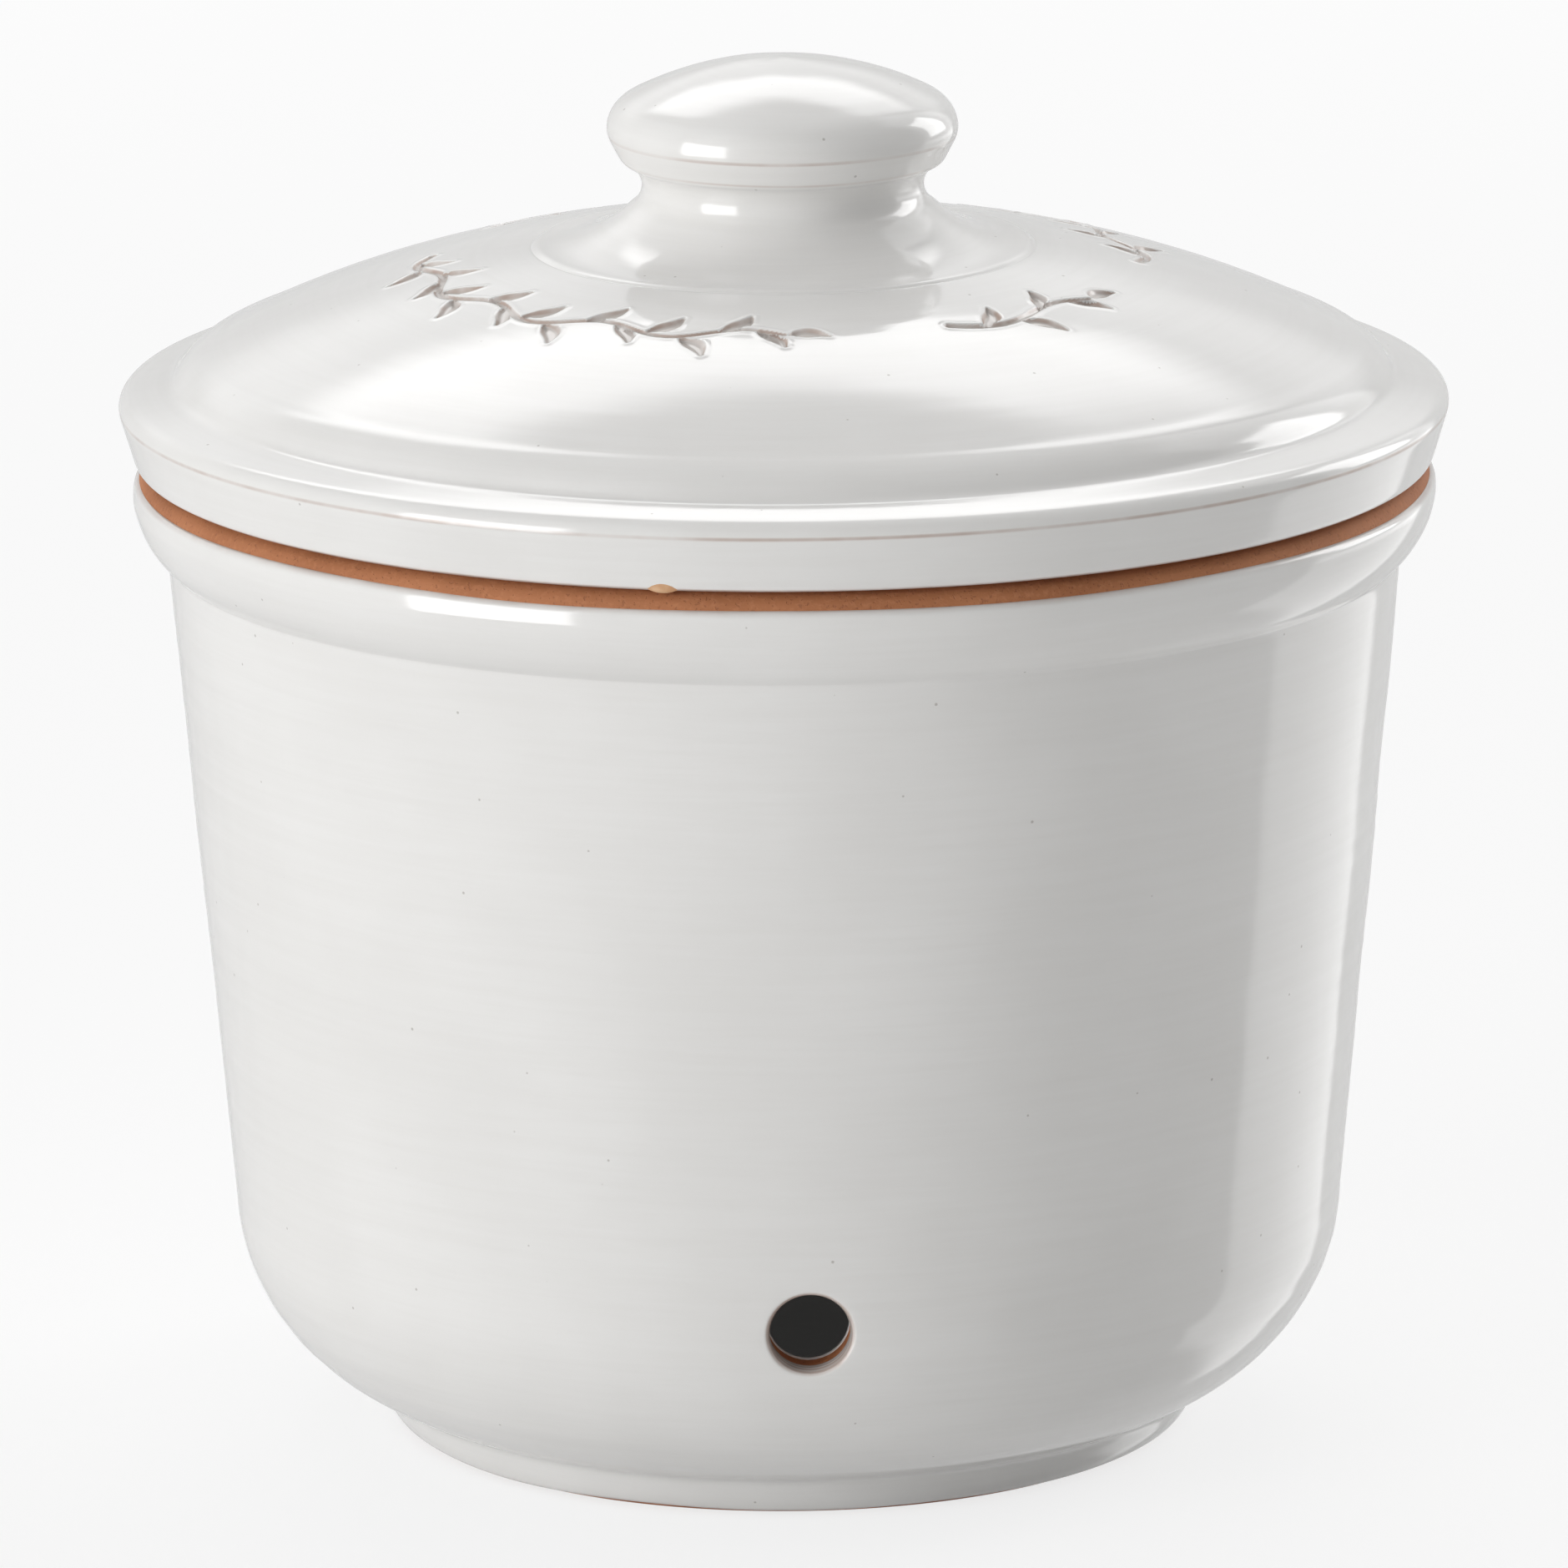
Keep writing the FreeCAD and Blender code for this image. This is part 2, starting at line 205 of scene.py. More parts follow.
class Turning:
    """A closed turned surface: rows of points, each row with its own number of them.

    The points stand on a section's rows and can be moved along their normals by an offset.
    """

    BLENDS = (0.3, 0.6, 0.85)
    FACE_MARGIN = 8

    def __init__(self, rows, counts, loop=False):
        self.rows = rows
        self.counts = np.broadcast_to(counts, len(rows)).copy()
        self.counts[rows[:, 0] < 1e-6] = 1
        self.first = np.concatenate(([0], np.cumsum(self.counts)))
        self.row = np.repeat(np.arange(len(rows)), self.counts)
        column = np.arange(self.first[-1]) - self.first[self.row]
        self.angle = column * 2 * math.pi / self.counts[self.row]
        self.radius, self.height = rows[self.row].T
        self.normal = outward(rows)[self.row]
        self.offset = np.zeros(len(self.row))
        self.marks = {}
        self.rings = []
        self.bands = [self.band(i, (i + 1) % len(rows)) for i in range(len(rows) - (not loop))]

    def band(self, low, high):
        """The faces between two rows, with the denser row as a multiple of the other."""
        few = min(self.counts[low], self.counts[high])
        at = [self.first[row] + np.arange(self.counts[row]) for row in (low, high)]
        if few == 1:
            ring = at[0] if len(at[0]) > 1 else at[1]
            pole = np.full(len(ring), at[1][0] if ring is at[0] else at[0][0])
            around = (ring, np.roll(ring, -1)) if ring is at[0] else (np.roll(ring, -1), ring)
            return np.stack((*around, pole), axis=1)
        sides = []
        for ring in at:
            share = len(ring) // few
            sides.append([np.roll(ring, -k)[::share] for k in range(share + 1)])
        return np.stack((*sides[0], *sides[1][::-1]), axis=1)

    def place(self):
        """Every point in space, moved along its normal by its offset."""
        radius = self.radius + self.normal[:, 0] * self.offset
        height = self.height + self.normal[:, 1] * self.offset
        return on_circle(radius, self.angle, height)

    def pierce(self, front, back, half_rows, half_columns, level, path):
        """A round hole at the front, from a window in the outer rows to one in the inner rows.

        The path runs from outside to inside. It lists the hole's radius, whether it is measured from
        the outer face (1) or the inner one (0) or between them, the depth behind that, and the mark.
        """
        places = self.place()
        loops, faces_of = [], []
        for middle, up in ((front, 1), (back, -1)):
            across = list(range(-half_columns, half_columns))
            rise = [middle + up * step for step in range(-half_rows, half_rows)]
            corners = [(rise[0], c) for c in across] + [(r, half_columns) for r in rise]
            corners += [(middle + up * half_rows, -c) for c in across]
            corners += [(2 * middle - r, -half_columns) for r in rise]
            loops.append(np.array([self.first[r] + c % self.counts[r] for r, c in corners]))
            for row in range(middle - half_rows, middle + half_rows):
                inside = np.array(across) % self.counts[row]
                self.bands[row] = np.delete(self.bands[row], inside, axis=0)
            reach = half_rows + self.FACE_MARGIN
            faces_of.append(self.rows[middle - reach:middle + reach + 1][::up])
        front_edge, back_edge = (places[loop] for loop in loops)
        round_angle = np.arctan2(front_edge[:, 2] - level, front_edge[:, 0])

        def face_at(side, x, z):
            radius = np.interp(z, faces_of[side][:, 1], faces_of[side][:, 0])
            return -np.sqrt(radius**2 - x**2)

        def ring(radius, share, depth, blend=1.0, edge=None, side=0):
            x = radius * np.cos(round_angle)
            z = level + radius * np.sin(round_angle)
            rough = 0.0
            if edge is not None:
                rough = (1 - blend) * (edge[:, 1] - face_at(side, edge[:, 0], edge[:, 2]))
                x = blend * x + (1 - blend) * edge[:, 0]
                z = blend * z + (1 - blend) * edge[:, 2]
            y = share * face_at(0, x, z) + (1 - share) * face_at(1, x, z) + depth + rough
            return np.stack((x, y, z), axis=1)

        first_radius, _, first_depth, _ = path[0]
        last_radius, _, last_depth, _ = path[-1]
        rings = [ring(first_radius, 1, first_depth, blend, front_edge, 0) for blend in self.BLENDS]
        rings += [ring(radius, share, depth) for radius, share, depth, _ in path]
        rings += [ring(last_radius, 0, last_depth, blend, back_edge, 1) for blend in self.BLENDS[::-1]]
        plain = [0.0] * len(self.BLENDS)
        self.rings = list(zip(rings, plain + [mark for *_, mark in path] + plain))
        chain = [loops[0]]
        for number, points in enumerate(rings):
            chain.append(self.first[-1] + np.arange(len(points)) + number * len(points))
        chain.append(loops[1])
        for outer, inner in zip(chain, chain[1:]):
            sides = (outer, np.roll(outer, -1), np.roll(inner, -1), inner)
            self.bands.append(np.stack(sides, axis=1))

    def mesh(self, name, material, body, slot, *nodes):
        """The finished object, riding on its body in place of these nodes."""
        places = np.vstack([self.place()] + [points for points, _ in self.rings])
        made = smooth_piece(name, places, self.bands, material)
        extra = [np.full(len(points), mark) for points, mark in self.rings]
        for key, values in self.marks.items():
            store = made.data.attributes.new(key, "FLOAT", "POINT")
            store.data.foreach_set("value", np.concatenate([values] + extra).astype(np.float32))
        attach(made, body)
        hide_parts(*nodes)
        return made


class Signal:
    """One output of a shader node. Python's operators on it add Math nodes."""

    def __init__(self, tree, socket=None):
        self.tree = tree
        self.socket = socket

    def node(self, kind, settings, sockets, output=0):
        """A new node of this material. It returns the output with this name or number."""
        made = self.tree.nodes.new(kind)
        for key, value in settings.items():
            setattr(made, key, value)
        for key, value in sockets.items():
            if isinstance(value, Signal):
                self.tree.links.new(value.socket, made.inputs[key])
            else:
                made.inputs[key].default_value = value
        return Signal(self.tree, made.outputs[output] if made.outputs else None)

    def math(self, operation, *terms):
        return self.node("ShaderNodeMath", {"operation": operation}, dict(enumerate(terms)))

    def __add__(self, other):
        return self.math("ADD", self, other)

    def __sub__(self, other):
        return self.math("SUBTRACT", self, other)

    def __mul__(self, other):
        return self.math("MULTIPLY", self, other)

    def __rsub__(self, other):
        return self.math("SUBTRACT", other, self)

    __radd__ = __add__
    __rmul__ = __mul__

    def ramp(self, low, high):
        """0 at low and 1 at high, with a smooth rise between them."""
        limits = {"From Min": low, "From Max": high, "Value": self}
        return self.node("ShaderNodeMapRange", {"interpolation_type": "SMOOTHSTEP"}, limits)

    def mix(self, first, second):
        """A colour between two others, by this signal."""
        colours = {0: self, 6: first, 7: second}
        return self.node("ShaderNodeMix", {"data_type": "RGBA"}, colours, 2)

    def scaled(self, x, y, z):
        return self.node("ShaderNodeVectorMath", {"operation": "MULTIPLY"}, {0: self, 1: (x, y, z)})

    def noise(self, scale, detail=2.0, roughness=0.5):
        """Cloudy noise from 0 to 1 at this vector, with features about 1 / scale wide."""
        values = {"Vector": self, "Scale": scale, "Detail": detail, "Roughness": roughness}
        return self.node("ShaderNodeTexNoise", {}, values)


def new_finish(name):
    """An empty material, its first signal and the place on the piece in metres."""
    material = bpy.data.materials.new(name)
    material.use_nodes = True
    tree = material.node_tree
    tree.nodes.clear()
    start = Signal(tree)
    return material, start, start.node("ShaderNodeTexCoord", {}, {}, "Object")


def surface(start, sockets):
    """The material's one shader, joined to its output."""
    shader = start.node("ShaderNodeBsdfPrincipled", {}, sockets)
    start.node("ShaderNodeOutputMaterial", {}, {"Surface": shader})


def bumped(start, height, distance, strength):
    """A normal from a height signal, where distance is the relief of a full step in millimetres."""
    sockets = {"Height": height, "Distance": distance * MM, "Strength": strength}
    return start.node("ShaderNodeBump", {}, sockets)


def bare_clay(name):
    """Fired terracotta: warm, matt and slightly grainy, with faint lines from the wheel."""
    material, start, place = new_finish(name)
    clouds = place.noise(90, 3).ramp(0.3, 0.7)
    grains = place.noise(1500, 2).ramp(0.45, 0.75)
    pits = place.noise(2600, 1).ramp(0.62, 0.72)
    lines = place.scaled(0.04, 0.04, 1.0).noise(2200, 3)
    tone = clouds.mix(CLAY_DEEP, CLAY_WARM)
    tone = (grains * 0.5).mix(tone, CLAY_GRAIN)
    tone = (pits * 0.45).mix(tone, CLAY_PIT)
    relief = lines * 0.5 + grains * 0.35 - pits * 0.8
    surface(start, {
        "Base Color": tone,
        "Roughness": 0.78 + grains * 0.14,
        "Normal": bumped(start, relief, 0.08, 0.8),
    })
    return material


def waves(seed, amount, most_round, shortest):
    """The smooth unevenness of thrown ware, in millimetres.

    It is a function of the angle and of the way along the section, made of a few random waves.
    """
    draw = np.random.default_rng(seed)
    count = 14
    rounds = draw.integers(0, most_round + 1, count)
    rates = draw.uniform(0, 2 * math.pi / shortest, count)
    phases = draw.uniform(0, 2 * math.pi, count)
    sizes = draw.uniform(0.4, 1.0, count)
    sizes *= amount / np.sqrt((sizes**2).sum())

    def at(angle, along):
        each = zip(sizes, rounds, rates, phases)
        return sum(size * np.cos(n * angle + rate * along + phase) for size, n, rate, phase in each)

    return at


def nearest_row(rows, height, rising):
    """The row at this height on the rising or on the falling side of a closed section."""
    going_up = np.gradient(rows[:, 1]) > 0
    on_wall = (going_up == rising) & (rows[:, 0] > FOOT_RADIUS / 2)
    return int(np.argmin(np.where(on_wall, np.abs(rows[:, 1] - height), np.inf)))


def vent_edge(radius, bend, outside=True, mark=0.0):
    """Path points of a rounded edge of the vent, at the outer or at the inner face of the wall."""
    points = []
    for turn in np.linspace(0, math.pi / 2, 7):
        aside = radius + bend * (1 - math.sin(turn))
        depth = bend * (1 - math.cos(turn))
        points.append((aside, 1, depth, mark) if outside else (aside, 0, -depth, mark))
    return points if outside else points[::-1]


inner_wall = WALL_RADIUS + (RIM_HEIGHT - LIP_EDGE_RADIUS - COLLAR_LOW) * WALL_SLOPE - WALL_THICKNESS
corner_level = FLOOR_TOP + FLOOR_CORNER_RADIUS
corner_wall = inner_wall - (RIM_HEIGHT - LIP_EDGE_RADIUS - corner_level) * WALL_SLOPE
slope_angle = math.atan(WALL_SLOPE)
corner_centre = corner_wall - FLOOR_CORNER_RADIUS / math.cos(slope_angle)
corner_top = (corner_centre + FLOOR_CORNER_RADIUS * math.cos(slope_angle),
              corner_level - FLOOR_CORNER_RADIUS * math.sin(slope_angle))
corner_sag = FLOOR_CORNER_RADIUS * (1 - math.cos((math.pi / 2 - slope_angle) / 2))


def outside_of_pot(outline):
    """The pot's outer face from the foot's edge up to the rim's edge."""
    outline.arc(FOOT_RADIUS, FOOT_HEIGHT, -FOOT_SAG)
    outline.arc(WALL_LOW_RADIUS, WALL_LOW_HEIGHT, -BOWL_SAG)
    outline.line(WALL_RADIUS, COLLAR_LOW)
    outline.arc(COLLAR_RADIUS, COLLAR_HIGH, -COLLAR_SAG)
    outline.line(COLLAR_RADIUS - COLLAR_DRAW_IN, RIM_HEIGHT - BARE_RIM - 0.1)
    return outline.arc(RIM_RADIUS, RIM_HEIGHT - RIM_EDGE_RADIUS, -RIM_SAG)


def inside_of_pot(outline):
    """The pot's inner face from the lip down to the middle of the floor."""
    outline.arc(inner_wall, RIM_HEIGHT - LIP_EDGE_RADIUS, -LIP_EDGE_RADIUS * QUARTER_SAG)
    outline.line(*corner_top)
    outline.arc(corner_centre, FLOOR_TOP, corner_sag)
    return outline.line(0, FLOOR_TOP)


POT_POINTS_ROUND = 300
foot_outer = FOOT_RADIUS - FOOT_TAPER
foot_inner = foot_outer - FOOT_RING_WIDTH
pot_outline = Outline(0, BASE_RECESS).line(foot_inner - RECESS_BEVEL, BASE_RECESS)
pot_outline.line(foot_inner, 0).line(foot_outer, 0)
outside_of_pot(pot_outline)
pot_outline.arc(RIM_RADIUS - RIM_EDGE_RADIUS, RIM_HEIGHT, -RIM_EDGE_RADIUS * QUARTER_SAG)
pot_outline.line(inner_wall + LIP_EDGE_RADIUS, RIM_HEIGHT)
inside_of_pot(pot_outline)
pot_line = pot_outline.softened(0.15)
near_vent = np.abs(pot_line[:, 1] - VENT_HEIGHT) < 12
pot_rows = picked(pot_line, stops_along(pot_line, np.where(near_vent, 0.8, 1.6)))
pot_rows[[0, -1], 0] = 0
pot = Turning(pot_rows, POT_POINTS_ROUND)
rim_waves = waves(3, 0.035, 9, 6.0)
off_table = pot.height > 0.5
pot.offset = rim_waves(pot.angle, pot.height) * (pot.height > COLLAR_HIGH) - CLAY_INSET * off_table
vent_draw = np.random.default_rng(21)
vent_path = vent_edge(VENT_RADIUS, VENT_EDGE_OUTSIDE)
for share in np.linspace(0.88, 0.12, 16):
    vent_path.append((VENT_RADIUS + vent_draw.uniform(-0.14, 0.06), share, 0.0, 0.0))
vent_path += vent_edge(VENT_RADIUS, VENT_EDGE_INSIDE, outside=False)
pot.pierce(nearest_row(pot_rows, VENT_HEIGHT, True), nearest_row(pot_rows, VENT_HEIGHT, False),
           11, 7, VENT_HEIGHT, vent_path)
terracotta = bare_clay("terracotta")
pot.mesh("pot_body_clay", terracotta, "pot", "clay", "pot_body")

# Outer glaze of the pot
# A thick, glossy white coat, dipped or poured on and fired. It stops in a soft round edge
# under the bare rim and just above the table, and it rolls over the vent's edge into the hole.
GLAZE_THICKNESS = 0.5
GLAZE_BURIED = 0.15
BARE_FOOT = 0.4
FOOT_CREASE = 1.3
LIP_ROLL = 0.62
WASH_DEPTH = 3.6
GLAZE_GREY = (0.795, 0.787, 0.772, 1)
GLAZE_WHITE = (0.825, 0.818, 0.804, 1)
GLAZE_STREAK = (0.72, 0.705, 0.68, 1)
GLAZE_SPECK = (0.3, 0.27, 0.24, 1)
GLAZE_IN_CUTS = (0.47, 0.4, 0.35, 1)
GLAZE_THIN = (0.34, 0.19, 0.12, 1)


def white_glaze(name, carved=False, glow=0.0):
    """Glossy white glaze, a little cloudy and wavy, with rare specks, browned where it runs thin.

    The glow stands in for the light that goes to and fro many times inside a closed white pot.
    """
    material, start, place = new_finish(name)
    flat = place.scaled(1, 1, 0)
    reach = start.node("ShaderNodeVectorMath", {"operation": "LENGTH"}, {0: flat}, "Value")
    level = start.node("ShaderNodeSeparateXYZ", {}, {0: place}, "Z")
    slow = start.node("ShaderNodeSeparateXYZ", {}, {0: place.scaled(0.06, 0.06, 0.06)}, "X")
    ringed = start.node("ShaderNodeCombineXYZ", {}, {"X": reach, "Y": slow, "Z": level})
    lines = ringed.noise(900, 3, 0.6)
    fine_lines = ringed.noise(2600, 2, 0.6)
    clouds = place.noise(45, 2).ramp(0.3, 0.7)
    ripple = place.noise(170, 2, 0.4)
    cells = {"Vector": place, "Scale": 200.0}
    from_cell = start.node("ShaderNodeTexVoronoi", {}, cells, "Distance")
    specks = 1 - from_cell.ramp(0.02, 0.045)
    thin = start.node("ShaderNodeAttribute", {"attribute_name": "thin"}, {}, "Fac")
    worn = place.noise(70, 4, 0.6)
    brown = thin.ramp(0.25, 1.0) * (0.25 + worn.ramp(0.36, 0.66) * 0.6)
    brown = brown.math("MAXIMUM", brown, thin.ramp(1.0, 2.0))
    if carved:
        stroke = start.node("ShaderNodeAttribute", {"attribute_name": "stroke"}, {}, "Fac")
        cut_edge = stroke.ramp(0.5, 0.85) * (1 - stroke.ramp(1.0, 1.35))
        patches = place.noise(300, 2).ramp(0.35, 0.65)
        brown = brown.math("MAXIMUM", brown, cut_edge * (0.3 + patches * 0.5))
    tone = clouds.mix(GLAZE_GREY, GLAZE_WHITE)
    tone = ((lines - 0.5) * 0.5 + fine_lines * 0.15).mix(tone, GLAZE_STREAK)
    tone = (specks * 0.55).mix(tone, GLAZE_SPECK)
    if carved:
        tone = ((1 - stroke.ramp(0.4, 1.0)) * 0.55).mix(tone, GLAZE_IN_CUTS)
    tone = (brown * 0.85).mix(tone, GLAZE_THIN)
    relief = ripple * 1.0 + lines * 0.22 + fine_lines * 0.05 - specks * 0.2
    surface(start, {
        "Base Color": tone,
        "Roughness": 0.05 + clouds * 0.03 + lines * 0.03 + brown * 0.2,
        "IOR": 1.56,
        "Emission Strength": glow,
        "Normal": bumped(start, relief, 0.035, 0.6),
    })
    return material


def coat(clay, free_end=True, edge=0.9, blur=0.3):
    """The outer and the buried line of a coat over a line of clay.

    It is rounded off at its start, and at its end unless that lies on the axis.
    """
    along = way_along(clay)
    from_edge = np.minimum(along, along[-1] - along) if free_end else along
    swell = np.sqrt(1 - (1 - np.minimum(from_edge / edge, 1)) ** 2)
    normals = outward(clay)
    outer = Outline(0, 0)
    outer.points = clay + normals * (GLAZE_THICKNESS * swell)[:, None]
    return outer.softened(blur), clay - normals * GLAZE_BURIED


glaze_line = outside_of_pot(Outline(foot_outer, 0)).softened(0.2)
glaze_line = glaze_line[(glaze_line[:, 1] > BARE_FOOT) & (glaze_line[:, 1] < RIM_HEIGHT - BARE_RIM)]
outer_line, buried_line = coat(glaze_line)
pooled_line, _ = coat(glaze_line, blur=FOOT_CREASE)
in_crease = np.exp(-((outer_line[:, 1] - FOOT_HEIGHT) / 4.0) ** 4)[:, None]
outer_line = outer_line * (1 - in_crease) + pooled_line * in_crease
stops = stops_along(outer_line, 1.1)
outer_rows = picked(outer_line, stops)
buried_rows = picked(buried_line, stops)
outer_glaze = Turning(np.vstack((outer_rows, buried_rows[::-1])), POT_POINTS_ROUND, loop=True)
shows = outer_glaze.row < len(outer_rows)
body_waves = waves(5, 0.06, 7, 22.0)
throwing = waves(6, 0.022, 1, 2.6)
edge_waves = waves(7, 0.07, 9, 40.0)
unevenness = (body_waves(outer_glaze.angle, outer_glaze.height)
              + throwing(outer_glaze.angle, outer_glaze.height))
outer_glaze.offset = shows * unevenness
near_rim_edge = np.exp(-((RIM_HEIGHT - BARE_RIM - outer_glaze.height) / 0.8) ** 2)
near_foot_edge = np.exp(-((outer_glaze.height - BARE_FOOT) / 0.6) ** 2)
edge_shift = edge_waves(outer_glaze.angle, 0) * (near_rim_edge - near_foot_edge * 0.7)
outer_glaze.height = outer_glaze.height + edge_shift
outer_glaze.marks["thin"] = np.clip(near_rim_edge * 0.62 + near_foot_edge * 0.7, 0, 1) * shows
lip = []
for radius, share, depth, _ in vent_edge(VENT_RADIUS - 0.08, LIP_ROLL):
    lip.append((radius, share, depth, min(1.6, 0.3 + 3 * depth / LIP_ROLL)))
for depth in np.arange(LIP_ROLL + 0.3, WASH_DEPTH, 0.3):
    drag = vent_draw.uniform(-0.12, 0.06)
    lip.append((VENT_RADIUS - 0.12 + drag, 1, depth, vent_draw.uniform(0.9, 2.2)))
lip += [(VENT_RADIUS + 0.35, 1, WASH_DEPTH - 0.3, 2.0), (VENT_RADIUS + 0.8, 0, -0.02, 0.0)]
outer_glaze.pierce(nearest_row(outer_glaze.rows, VENT_HEIGHT, True),
                   nearest_row(outer_glaze.rows, VENT_HEIGHT, False), 9, 7, VENT_HEIGHT, lip)
glaze = white_glaze("white_glaze")
outer_glaze.mesh("pot_outer_glaze_coat", glaze, "pot", "glaze", "pot_outer_glaze")

# Inner glaze of the pot
# The same white coat inside, poured in and tipped out, from just under the lip to the floor.
# It keeps the clay from soaking up moisture, and it stops where the lid's seat begins.
BARE_LIP = 1.4

inside_line = inside_of_pot(Outline(inner_wall + LIP_EDGE_RADIUS, RIM_HEIGHT)).softened(0.2)
inside_line = inside_line[inside_line[:, 1] < RIM_HEIGHT - BARE_LIP]
inner_line, inner_buried = coat(inside_line, free_end=False)
inner_stops = stops_along(inner_line, 1.3)
inner_rows = picked(inner_line, inner_stops)
inner_buried_rows = picked(inner_buried, inner_stops)
inner_rows[-1, 0] = inner_buried_rows[-1, 0] = 0
inner_glaze = Turning(np.vstack((inner_buried_rows[::-1], inner_rows)), POT_POINTS_ROUND)
shows = inner_glaze.row >= len(inner_buried_rows)
inside_waves = waves(8, 0.07, 6, 18.0)
way = inner_glaze.height + inner_glaze.radius
unevenness = inside_waves(inner_glaze.angle, way) + throwing(inner_glaze.angle, way)
inner_glaze.offset = shows * unevenness * np.minimum(inner_glaze.radius / 20, 1)
near_lip_edge = np.exp(-((RIM_HEIGHT - BARE_LIP - inner_glaze.height) / 0.8) ** 2)
inner_glaze.marks["thin"] = near_lip_edge * 0.7 * shows
back_lip = [
    (VENT_RADIUS + 0.8, 1, WASH_DEPTH + 0.1, 0.0),
    (VENT_RADIUS + 0.35, 0, -LIP_ROLL, 0.9),
    (VENT_RADIUS + 0.1, 0, -LIP_ROLL - 0.45, 0.9),
    (VENT_RADIUS - 0.1, 0, -LIP_ROLL - 0.3, 0.6),
]
back_lip += vent_edge(VENT_RADIUS - 0.15, LIP_ROLL, outside=False, mark=0.2)
inner_glaze.pierce(nearest_row(inner_glaze.rows, VENT_HEIGHT, True),
                   nearest_row(inner_glaze.rows, VENT_HEIGHT, False), 8, 7, VENT_HEIGHT, back_lip)
inside_glaze = white_glaze("white_glaze_inside", glow=0.007)
inner_glaze.mesh("pot_inner_glaze_coat", inside_glaze, "pot", "glaze", "pot_inner_glaze")

# Lid clay
# A thrown lid: a dome that rises steeply from a flat brim, and a flange that drops into the mouth.
# Only the seat and the outer side of the flange stay bare, so that the lid can be fired standing.
lid_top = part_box("lid_body")[1] / MM
flange_low = (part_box("lid_body")[0] / MM).z
LID_RADIUS = 74.55
BAND_RADIUS = LID_RADIUS - 1.85
ARRIS_LEVEL = RIM_HEIGHT + 5.8
ROLL_TOP = (LID_RADIUS - 1.3, ARRIS_LEVEL + 1.4)
ROLL_SAG = 0.35
BRIM_INNER = (ROLL_TOP[0] - 3.8, ROLL_TOP[1] + 0.85)
COVE_TOP = (BRIM_INNER[0] - 1.35, BRIM_INNER[1] + 0.9)
COVE_SAG = 0.15
FLANK_TOP = (64.0, 124.1)
FLANK_SAG = 0.5
DOME_SAG = 1.48
BAND_EDGE = 0.4
KNOB_FOOT_RADIUS = 28.0
DOME_TOP = lid_top.z
UNDERSIDE = DOME_TOP - 5.5
FLANGE_RADIUS = 62.25
FLANGE_INNER = FLANGE_RADIUS - 4.6
FLANGE_EDGE = 1.2
KNOB_HOLLOW_RADIUS = 7.0
SHOULDER = (FLANGE_INNER - 4.65, UNDERSIDE - 7.1)
SHOULDER_SAG = 1.0
CARVED_RADIUS = 40.0
CARVED_REACH = 9
CARVING_ROOM = 0.8


def outside_of_lid(outline):
    """The lid's upper face from the band's lower edge to the knob's foot."""
    outline.line(LID_RADIUS, ARRIS_LEVEL)
    outline.arc(*ROLL_TOP, -ROLL_SAG)
    outline.line(*BRIM_INNER)
    outline.arc(*COVE_TOP, COVE_SAG)
    outline.arc(*FLANK_TOP, -FLANK_SAG)
    return outline.arc(KNOB_FOOT_RADIUS, DOME_TOP, -DOME_SAG)


def underside_of_lid(outline):
    """The lid's lower face from the knob's hollow to the outer edge of the flange."""
    outline.line(KNOB_FOOT_RADIUS, UNDERSIDE)
    outline.arc(*SHOULDER, SHOULDER_SAG)
    outline.line(FLANGE_INNER, RIM_HEIGHT)
    outline.line(FLANGE_INNER, flange_low + FLANGE_EDGE)
    outline.arc(FLANGE_INNER + FLANGE_EDGE, flange_low, -FLANGE_EDGE * QUARTER_SAG)
    return outline.line(FLANGE_RADIUS - FLANGE_EDGE, flange_low)


lid_outline = Outline(FLANGE_RADIUS, RIM_HEIGHT).line(BAND_RADIUS - BAND_EDGE, RIM_HEIGHT)
lid_outline.line(BAND_RADIUS, RIM_HEIGHT + BAND_EDGE)
outside_of_lid(lid_outline)
lid_outline.line(KNOB_HOLLOW_RADIUS, DOME_TOP).line(KNOB_HOLLOW_RADIUS, UNDERSIDE)
underside_of_lid(lid_outline)
lid_outline.arc(FLANGE_RADIUS, flange_low + FLANGE_EDGE, -FLANGE_EDGE * QUARTER_SAG)
lid_outline.line(FLANGE_RADIUS, RIM_HEIGHT)
lid_line = lid_outline.softened(0.12)
lid_rows = picked(lid_line, stops_along(lid_line, 1.5))[:-1]
lid = Turning(lid_rows, 360, loop=True)
under_carving = (np.abs(lid.radius - CARVED_RADIUS) < CARVED_REACH) & (lid.normal[:, 1] > 0.5)
lid.offset = -CLAY_INSET - CARVING_ROOM * under_carving
lid.mesh("lid_body_clay", terracotta, "lid", "clay", "lid_body")

# Knob clay
# The knob is thrown apart, hollow, and luted on the dome while both are leather-hard.
# It is all under glaze; its foot shows only as a fine crease on the dome.
knob_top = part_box("lid_knob")[1] / MM
KNOB_TOP = knob_top.z
KNOB_RADIUS = 19.4
KNOB_WIDEST = KNOB_TOP - 7.6
KNOB_SHOULDER = 3.8
KNOB_NECK = (17.0, DOME_TOP + 4.7)
KNOB_FOOT_SAG = 1.2
KNOB_RIDGE = (17.8, DOME_TOP + 10.4)
KNOB_NECK_SAG = 1.98
KNOB_CAP_EDGE = (KNOB_RADIUS - 0.25, KNOB_WIDEST - 0.8)
HOLLOW_TOP = KNOB_TOP - 8.3


